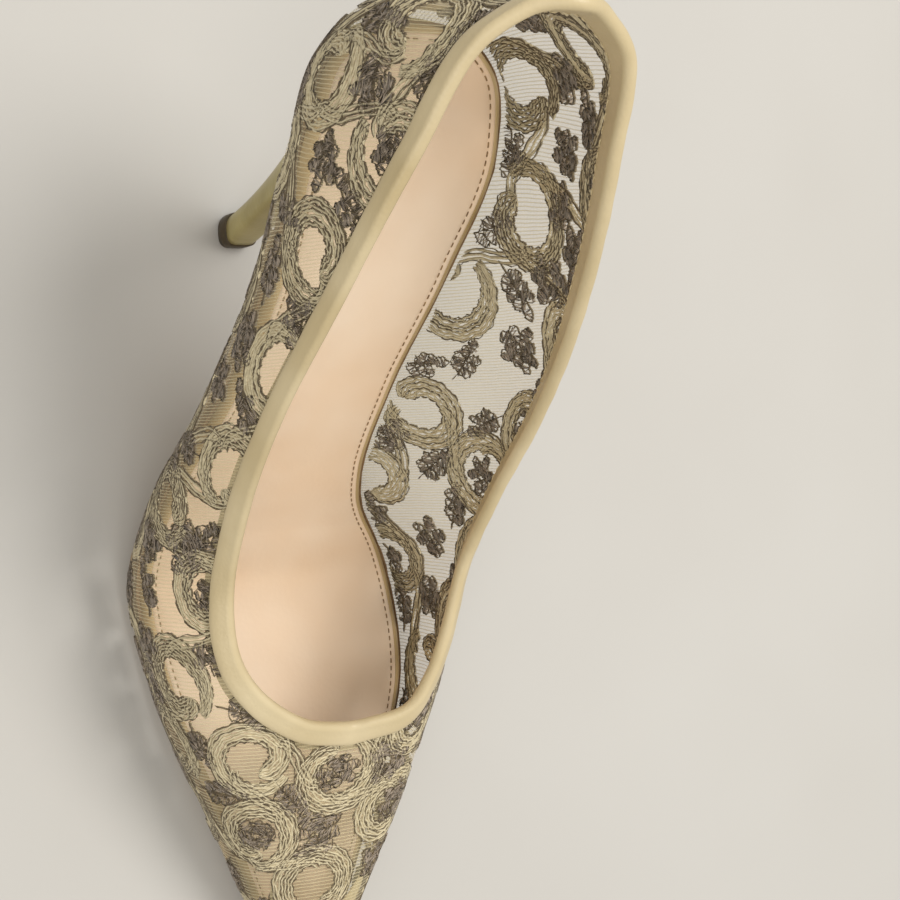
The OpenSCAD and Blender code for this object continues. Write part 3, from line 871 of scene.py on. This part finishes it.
def draw_band(motif, drawing):
    satin, outlines = drawing
    for line in satin:
        satin_lines.extend(motif.lay(line, SATIN_LIFT))
    for line in outlines:
        outline_lines.extend(motif.lay(line, 0.0))


def draw_leaves(motif, drawing):
    fills, outlines = drawing
    for line in outlines:
        outline_lines.extend(motif.lay(line, 0.0))
    for line in fills:
        leaf_lines.extend(motif.lay(line, 0.0))


def draw_ring(i):
    """A scroll ring, and in under half of them a flower cluster in the middle."""
    heading = unit(spot_round[i]) * math.cos(1.0) + rng.normal(0, 1, 3)
    motif = Motif(spots[i], spot_normals[i], heading, rng.random() < 0.5)
    radius = rng.uniform(9.2, 11.0)
    draw_band(motif, scroll(radius, rng.uniform(5.9, 7.0), rng.uniform(0.42, 0.55)))
    if rng.random() < CLUSTER_SHARE:
        centre = spots[i] + motif.e1 * rng.uniform(-1.5, 1.5)
        middle = Motif(centre, spot_normals[i], heading, False)
        draw_leaves(middle, cluster(rng.uniform(7.5, 9.5)))


def draw_vines(centres):
    """Thin bands from each ring to its two nearest neighbours, each drawn once."""
    for here, centre in enumerate(centres):
        away = np.linalg.norm(centres - centre, axis=1)
        for other in np.argsort(away)[1:3]:
            if away[other] > FARTHEST_VINE or other < here:
                continue
            i = nearest_spot((centre + centres[other]) / 2)
            motif = Motif(spots[i], spot_normals[i], centres[other] - centre, rng.random() < 0.5)
            draw_band(motif, vine(away[other] * VINE_SHARE))


def draw_sprigs(chosen):
    """Sprigs and flower clusters by turns."""
    for k, i in enumerate(chosen):
        heading = rng.normal(0, 1, 3)
        motif = Motif(spots[i], spot_normals[i], heading, rng.random() < 0.5)
        if k % 2:
            draw_leaves(motif, cluster(rng.uniform(8.0, 10.5)))
        else:
            drawing = sprig(rng.uniform(9.0, 12.0))
            motif.centre = motif.centre - motif.e1 * 5
            draw_leaves(motif, drawing)


first_ring = nearest_spot(skin(np.array([TOE_U - 0.4]), np.array([0.55]))[0])
rings = [first_ring] + spread(RING_GAP, spots[[first_ring]])
for ring in rings:
    draw_ring(ring)
draw_vines(spots[rings])
draw_sprigs(spread(SPRIG_GAP, spots[rings]))

tube_set("embroidery_satin", satin_lines, 0.34, 0.32, 4, pale_thread)
tube_set("embroidery_outline", outline_lines, 0.11, 0.42, 3, dark_thread)
tube_set("embroidery_leaves", leaf_lines, 0.13, 0.46, 4, leaf_thread)

# ---------------------------------------------------------------- sock, cushion and edge wrap
SOCK_INSET = 2.6
SOCK_EDGE = SOCK_INSET + 1.5
SOCK_COLS = 480
SOCK_U = ring_places(SOCK_COLS)
SOCK_SHARE = np.concatenate([np.linspace(0, 0.4, 26), np.linspace(0.45, 1, 14)])
SOCK_TOP = BOARD_T + FOAM_T + SOCK_T
SOCK_STITCH_IN = 1.6
FOAM_EDGE = SOCK_INSET + 2.2
FOAM_CLEAR = 0.05


def spokes(u, share, edge_in):
    """Places on lines from the edge (share 0) to the spine (share 1), and how far from the edge."""
    edge = inset(u, edge_in)
    to_spine = spine_of(edge) - edge
    p = edge + to_spine * share[..., None]
    return p, np.linalg.norm(to_spine, axis=-1) * share


def above_bed(p, height):
    """Plan places raised over the bed by a height square to it."""
    z = bed_z(p[..., 1]) + height * bed_stretch(p[..., 1])
    return np.concatenate([p, z[..., None]], axis=-1)


def sock_surface(u, share):
    """The sock's top: round edge, stitched groove, then a slightly hollow cushioned middle."""
    p, from_edge = spokes(u, share, SOCK_EDGE)
    round_off = 0.5 * np.clip(1 - from_edge / 0.8, 0, 1) ** 2
    groove = 0.22 * np.exp(-(((from_edge - SOCK_STITCH_IN) / 0.5) ** 2))
    crown = 0.35 * np.sin(np.clip(from_edge / 9, 0, 1) * math.pi / 2)
    dish = 0.12 * (1 - np.cos(math.pi * share))
    return above_bed(p, SOCK_TOP + crown - dish - round_off - groove)


def foam_surface(u, share, height, round_by):
    """One face of the cushion, its edge rounded down, or up where `round_by` is negative."""
    p, from_edge = spokes(u, share, FOAM_EDGE)
    round_off = round_by * np.clip(1 - from_edge / abs(round_by), 0, 1) ** 2
    return above_bed(p, height - round_off)


def bed_layer(name, top, low, material):
    """A layer on the bed: its top from the spine out to the edge, then its underside back in."""
    return open_ring(name, np.concatenate([top[:, ::-1], low], axis=1), material)


def sock_lining():
    u, share = np.meshgrid(SOCK_U, SOCK_SHARE, indexing="ij")
    top = sock_surface(u, share)
    low = top - np.array([0, 0, SOCK_T])
    return bed_layer("sock_leather", top, low, sock_look)


def foam_cushion():
    u, share = np.meshgrid(SOCK_U, SOCK_SHARE, indexing="ij")
    top = foam_surface(u, share, BOARD_T + FOAM_T - FOAM_CLEAR, 0.5)
    low = foam_surface(u, share, BOARD_T + FOAM_CLEAR, -0.3)
    return bed_layer("foam_cushion", top, low, foam_look)


def sock_stitches():
    """The row inside the sock's edge."""
    u = np.linspace(0, GUIDES, 1900)
    edge = inset(u, SOCK_EDGE)
    width = np.linalg.norm(spine_of(edge) - edge, axis=-1)
    path = sock_surface(u, SOCK_STITCH_IN / width)
    up = unit(np.column_stack([np.zeros_like(u), -bed_tilt(path[:, 1]), np.ones_like(u)]))
    lines = stitches(path, up, length=1.5, gap=0.55, lift=0.12, sag=0.3)
    return tube_set("sock_stitches", lines, 0.19, 0.15, 6, sock_thread)


# The strip's section, from its foot inside the net, up its outer face and over to the sock:
# millimetres in from the sock's inset, and up from the bed.
WRAP_SECTION = (
    (0.55, 0.3),
    (-0.2, 0.6),
    (-0.4, 1.4),
    (-0.35, 2.4),
    (-0.05, 3.2),
    (0.45, 3.85),
    (1.1, 4.25),
    (1.75, 4.45),
    (1.9, 4.1),
    (0.6, 2.2),
)


def edge_wrap():
    rows = [above_bed(inset(SOCK_U, SOCK_INSET + over), up) for over, up in WRAP_SECTION]
    # The wrap is drawn with the painted-shade copy of the sock leather, darker than the sock itself.
    return closed_ring("edge_wrap_leather", np.stack(rows, axis=1), wrap_shaded_look)


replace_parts(sock_lining(), "sock_lining")
foam = foam_cushion()
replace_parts(foam, "sock_foam")
sock_stitches()
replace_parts(edge_wrap(), "sock_edge_wrap")

# ---------------------------------------------------------------- outsole
BREAST_Y = K_LEN * 42
SOLE_INSET = 1.2
SOLE_ROUND = 0.7
SOLE_EDGE_RISE = 0.35
SOLE_ROWS = 150
SOLE_COLS = 12


def outsole():
    """The thin sole from the heel's breast to the toe, its lower edges rounded."""
    outline_u = np.linspace(0, TOE_U, 900)
    outer_edge = inset(outline_u, SOLE_INSET)
    inner_edge = inset(GUIDES - outline_u, SOLE_INSET)
    back = BREAST_Y + 1
    front = outer_edge[-1, 1] - 0.05
    share = 1 - (1 - np.linspace(0, 1, SOLE_ROWS)) ** 1.6
    row_y = back + (front - back) * share
    outer_x = np.interp(row_y, np.maximum.accumulate(outer_edge[:, 1]), outer_edge[:, 0])
    inner_x = np.interp(row_y, np.maximum.accumulate(inner_edge[:, 1]), inner_edge[:, 0])
    sections = []
    for y, x_out, x_in in zip(row_y, outer_x, inner_x):
        x = np.linspace(x_in, x_out, SOLE_COLS)
        radius = min(SOLE_ROUND, max((x_out - x_in) / 2, 0.05))
        near_edge = np.clip(1 - np.minimum(x - x_in, x_out - x) / radius, 0, 1)
        top = np.full(SOLE_COLS, float(bed_z(y)) - SOLE_UNDER)
        low = top - OUTSOLE_T * float(bed_stretch(y)) + SOLE_EDGE_RISE * near_edge
        z = np.concatenate([top, low[::-1]])
        sections.append(np.column_stack([np.concatenate([x, x[::-1]]), np.full(2 * SOLE_COLS, y), z]))
    return capped_row("outsole_leather", np.stack(sections), sole_look)


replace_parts(outsole(), "outsole")

# ---------------------------------------------------------------- heel
SEAT_Y = K_LEN * 21
SEAT_HALF_Y = 21.0
SEAT_HALF_X = K_WID * 23.6
TIP_X = 2.5
TIP_Y = K_LEN * 34
TIP_W = 8.4
TOP_PIECE_T = 5.5
BACK_POWER = 2 / 2.2
FRONT_POWER = 2 / 3.6
HEEL_COLS = 96
HEEL_ROWS = 60
HEEL_ANGLES = 2 * math.pi * np.arange(HEEL_COLS) / HEEL_COLS
COVER_T = 0.78

# The top piece's section: millimetres in from its side, and up from the floor.
TOP_PIECE_SECTION = (
    (1.2, 0.0),
    (0.35, 0.0),
    (0.0, 0.4),
    (-0.05, 2.5),
    (0.0, 5.1),
    (0.3, 5.45),
    (1.2, 5.45),
)
TOP_PIECE_OUT = 0.3


def oval(angle, half_x, half_y):
    """A heel section: rounder at its back, squarer towards the breast."""
    power = np.where(np.sin(angle) < 0, BACK_POWER, FRONT_POWER)
    c = np.cos(angle)
    s = np.sin(angle)
    return half_x * np.sign(c) * np.abs(c) ** power, half_y * np.sign(s) * np.abs(s) ** power


def heel_point(angle, t, depth):
    """A point of the heel from its tip (t 0) to its seat (t 1), `depth` inside its surface."""
    tip_x, tip_y = oval(angle, TIP_W / 2 - depth, TIP_W / 2 - depth)
    seat_x, seat_y = oval(angle, SEAT_HALF_X - depth, SEAT_HALF_Y - depth)
    seat_z = bed_z(SEAT_Y + seat_y) - SOLE_UNDER - 0.05
    zero = np.zeros_like(angle)
    tip = np.stack([TIP_X + tip_x, TIP_Y + tip_y, zero + TOP_PIECE_T], -1)
    seat = np.stack([seat_x, SEAT_Y + seat_y, seat_z], -1)
    stem = tip + np.stack([zero, zero - 8, 0.48 * (seat_z - TOP_PIECE_T)], -1)
    neck_y = SEAT_Y - 3 + (0.42 - 0.34 * np.sin(angle)) * seat_y
    neck = np.stack([0.36 * seat_x, neck_y, seat_z - 19 + 11 * np.sin(angle)], -1)
    t = t[..., None]
    return (
        (1 - t) ** 3 * tip
        + 3 * (1 - t) ** 2 * t * stem
        + 3 * (1 - t) * t**2 * neck
        + t**3 * seat
    )


def heel_cover():
    angle, t = np.meshgrid(HEEL_ANGLES, np.linspace(0, 1, HEEL_ROWS), indexing="ij")
    outside = heel_point(angle, t, 0.0)
    inside = heel_point(angle, t, COVER_T)[:, ::-1]
    sections = np.concatenate([outside, inside], axis=1)
    return closed_ring("heel_leather_cover", sections, heel_look)


def top_piece():
    sections = []
    for inward, z in TOP_PIECE_SECTION:
        half = TIP_W / 2 + TOP_PIECE_OUT - inward
        x, y = oval(HEEL_ANGLES, half, half)
        sections.append(np.column_stack([TIP_X + x, TIP_Y + y, np.full(HEEL_COLS, z)]))
    return capped_row("top_piece_lift", np.stack(sections), rubber_look)


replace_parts(heel_cover(), "heel_cover")
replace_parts(top_piece(), "top_piece")

# ---------------------------------------------------------------- back strip
STRIP_REACH = 4.5 / STEP[0]
STRIP_T = 0.85
STRIP_COLS = 17
STRIP_ROWS = 60
STRIP_V = np.linspace(0.05, 1 - (BINDING_OUT - 0.6) / rim_speed(np.zeros(1))[0], STRIP_ROWS)
STRIP_STITCHES_AT = 0.68


def back_strip():
    """A narrow strip over the back seam, from the heel's seat up under the binding."""
    across = np.linspace(-1, 1, STRIP_COLS)
    height = STRIP_T * np.sqrt(np.clip(1 - np.abs(across) ** 8, 0, 1)) + 0.05
    sections = []
    for v in STRIP_V:
        place_v = np.full(STRIP_COLS, v)
        base = skin(across * STRIP_REACH, place_v)
        normal = skin_normal(across * STRIP_REACH, place_v)
        underside = (base + normal * 0.04)[::-1]
        sections.append(np.concatenate([base + normal * height[:, None], underside]))
    return capped_row("back_strip_leather", np.stack(sections), nude_look)


def strip_stitches(name, across):
    u = np.full(STRIP_ROWS, across * STRIP_REACH)
    normal = skin_normal(u, STRIP_V)
    path = skin(u, STRIP_V) + normal * STRIP_T
    lines = stitches(path, normal, length=1.9, gap=0.9, lift=0.1, sag=0.3)
    return tube_set(name, lines, 0.17, 0.15, 6, binding_thread)


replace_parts(back_strip(), "back_strip")
strip_stitches("strip_stitches_outer", STRIP_STITCHES_AT)
strip_stitches("strip_stitches_inner", -STRIP_STITCHES_AT)

# ---------------------------------------------------------------- pieces kept from the CAD
KEPT = {
    "topline_tape": tape_look,
    "back_seam_tape": tape_look,
    "toe_puff": puff_look,
    "insole_board": board_look,
    "shank": steel_look,
    "shank_rivets": fixing_look,
    "heel_screw": fixing_look,
    "heel_nails": fixing_look,
    "bottom_filler": filler_look,
    "heel_core": plastic_look,
    "heel_reinforcement_pin": fixing_look,
    "top_piece_dowel": fixing_look,
}
for name, look in KEPT.items():
    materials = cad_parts[name].data.materials
    materials.clear()
    materials.append(look)

# ---------------------------------------------------------------- floor, light, camera
FLOOR_HALF = 1.6
LIGHT_TARGET = (0, 0, 0.05)
WORLD_LIGHT = 0.76
CAMERA_AT = (164.3, 83.1, 395.2)
CAMERA_TURN = (0.014, -0.517, -0.045)
SENSOR_WIDTH = 36.0
LENS_LENGTH = 64.356


def floor_material():
    material, tree, shader = new_material("floor")
    two_tone(tree, shader, noise(tree, 6.0, 3.0), "B9B5AE", "C1BEB8", 0.2, 0.8)
    shader.inputs["Roughness"].default_value = 0.6
    return material


def floor():
    mesh = bpy.data.meshes.new("floor")
    corners = [(x * FLOOR_HALF, y * FLOOR_HALF, 0) for x, y in ((-1, -1), (1, -1), (1, 1), (-1, 1))]
    mesh.from_pydata(corners, [], [(0, 1, 2, 3)])
    mesh.materials.append(floor_material())
    obj = bpy.data.objects.new("floor", mesh)
    bpy.context.scene.collection.objects.link(obj)


def area_light(name, at, size, power, color):
    data = bpy.data.lights.new(name, "AREA")
    data.shape = "DISK"
    data.size = size
    data.energy = power
    data.color = color
    light = bpy.data.objects.new(name, data)
    light.location = at
    light.rotation_euler = (Vector(LIGHT_TARGET) - Vector(at)).to_track_quat("-Z", "Y").to_euler()
    bpy.context.scene.collection.objects.link(light)


def world_light():
    world = bpy.data.worlds.new("world")
    world.use_nodes = True
    background = world.node_tree.nodes["Background"]
    background.inputs["Color"].default_value = srgb("F2F1EE")
    background.inputs["Strength"].default_value = WORLD_LIGHT
    bpy.context.scene.world = world


def camera():
    """The photograph's view: its place and turn were solved with the shoe's outlines."""
    data = bpy.data.cameras.new("camera")
    data.sensor_width = SENSOR_WIDTH
    data.lens = LENS_LENGTH
    obj = bpy.data.objects.new("camera", data)
    bpy.context.scene.collection.objects.link(obj)
    turn = Vector(CAMERA_TURN)
    straight_down = Matrix(((-1, 0, 0), (0, 1, 0), (0, 0, -1)))
    right, down, ahead = Matrix.Rotation(turn.length, 3, turn) @ straight_down
    basis = Matrix((right, -down, -ahead)).transposed()
    obj.matrix_world = Matrix.Translation(Vector(place(CAMERA_AT))) @ basis.to_4x4()
    bpy.context.scene.camera = obj


floor()
area_light("key", (-0.42, -0.3, 1.15), 0.7, 9.5, (1.0, 0.98, 0.95))
area_light("fill", (0.6, 0.6, 1.1), 0.9, 4.5, (1.0, 0.99, 0.97))
world_light()
camera()
bpy.context.scene.view_settings.view_transform = "Standard"
